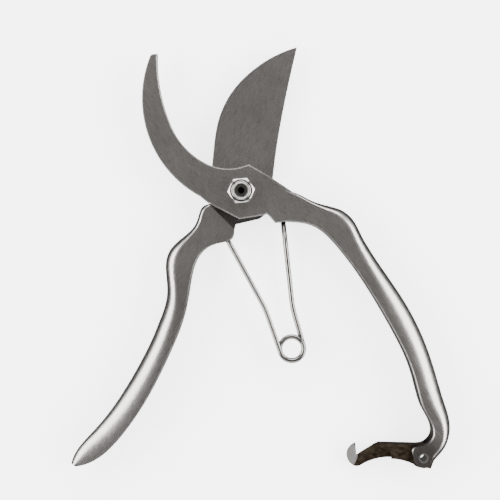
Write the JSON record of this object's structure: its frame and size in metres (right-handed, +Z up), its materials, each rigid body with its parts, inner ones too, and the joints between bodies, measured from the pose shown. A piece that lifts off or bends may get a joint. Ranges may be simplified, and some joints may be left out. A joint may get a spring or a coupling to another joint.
{
  "type": "pruning shears",
  "caption": "Bypass pruning shears with curved hook, sharpened blade, bare steel handles, wire opening spring and a swinging catch, lying open",
  "frame": {"origin": "on the pivot axis, on the bolt head's outer face, which lies on the surface under the shears", "axes": "+Z up along the pivot axis; +Y towards the jaws; +X towards the handle of the hook lever"},
  "size_m": [0.1599, 0.178, 0.0168],
  "materials": {
    "brushed_steel": "satin brushed stainless steel",
    "polished_steel": "bright polished stainless steel",
    "browned_steel": "browned sheet steel",
    "bronze": "plain bronze",
    "nylon": "natural nylon"
  },
  "bodies": {
    "hook_side": {"hook_lever": "brushed_steel", "bearing_washer": "bronze", "catch_rivet": "polished_steel", "catch_washer": "polished_steel"},
    "blade_side": {"blade_lever": "brushed_steel", "pivot_bolt": "polished_steel", "pivot_nut": "polished_steel", "nut_insert": "nylon"},
    "spring_right_leg": {"spring_right": "polished_steel"},
    "spring_left_leg": {"spring_left": "polished_steel"},
    "catch_arm": {"catch": "browned_steel"}
  },
  "joints": [
    {"name": "jaw", "type": "hinge", "parent": "hook_side", "child": "blade_side", "pos_m": [0, 0, 0], "axis": [0, 0, 1], "range_deg": [0, 54.3], "stiffness_Nm_per_rad": 1, "springref_deg": -20.05},
    {"name": "spring_right_fold", "type": "hinge", "parent": "hook_side", "child": "spring_right_leg", "pos_m": [0.0174, -0.0097, 0], "axis": [0, 0, 1], "range_deg": [0, 32]},
    {"name": "spring_coil_wind", "type": "hinge", "parent": "spring_right_leg", "child": "spring_left_leg", "pos_m": [0.0214, -0.0665, 0], "axis": [0, 0, 1], "range_deg": [-16.5, 0]},
    {"name": "catch_swing", "type": "hinge", "parent": "hook_side", "child": "catch_arm", "pos_m": [0.0764, -0.112, 0], "axis": [0, 0, 1], "range_deg": [-65, 40]}
  ],
  "couplings": [
    {"joint": "spring_right_fold", "follows": "jaw", "ratio": 0.585},
    {"joint": "spring_coil_wind", "follows": "jaw", "ratio": -0.302}
  ]
}
